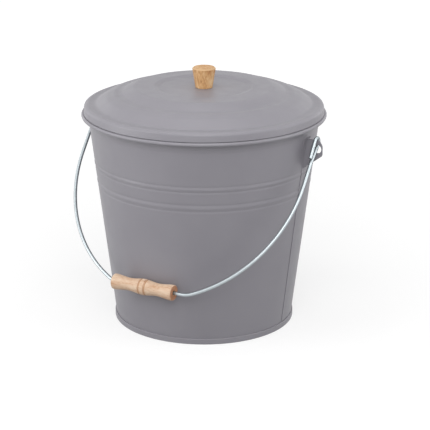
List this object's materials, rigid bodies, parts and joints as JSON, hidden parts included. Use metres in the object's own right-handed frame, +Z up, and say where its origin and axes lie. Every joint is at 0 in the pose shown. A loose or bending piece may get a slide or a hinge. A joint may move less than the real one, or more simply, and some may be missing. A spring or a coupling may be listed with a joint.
{
  "type": "ash bucket with lid",
  "caption": "Tapered sheet steel ash bucket with rolled rim and swaged bands, lift-off domed lid with wooden knob, and swinging wire bail with turned wooden grip.",
  "frame": {"origin": "centre of the bucket's foot, on the floor", "axes": "+Z up, +X towards the ear over the side seam, -Y towards the side where the bail rests"},
  "size_m": [0.355, 0.3298, 0.3492],
  "materials": {
    "painted_steel": "satin grey powder coat",
    "bare_steel": "drawn steel wire, hidden in the rim",
    "zinc_wire": "bright zinc plated drawn wire",
    "zinc_hardware": "zinc plated",
    "pale_wood": "turned beech, unvarnished satin",
    "warm_wood": "turned beech, warm and slightly oiled"
  },
  "bodies": {
    "bucket": {"bucket_body": "painted_steel", "rim_wire": "bare_steel", "bucket_bottom": "painted_steel", "ear_left": "painted_steel", "ear_right": "painted_steel"},
    "bail": {"bail_wire": "zinc_wire"},
    "grip": {"grip": "pale_wood"},
    "lid": {"lid_shell": "painted_steel", "lid_collar": "painted_steel", "lid_knob": "warm_wood", "knob_washer": "zinc_hardware", "knob_screw": "zinc_hardware"}
  },
  "joints": [
    {"name": "bail_swing", "type": "hinge", "parent": "bucket", "child": "bail", "pos_m": [0, 0, 0.268], "axis": [-1, 0, 0], "range_deg": [0, 285.9]},
    {"name": "grip_turn", "type": "hinge", "parent": "bail", "child": "grip", "pos_m": [-0.0105, -0.14189, 0.08004], "axis": [1, 0, 0], "continuous": true},
    {"name": "lid_lift", "type": "slide", "parent": "bucket", "child": "lid", "axis": [0, 0, 1], "range_m": [0, 0.2]}
  ]
}
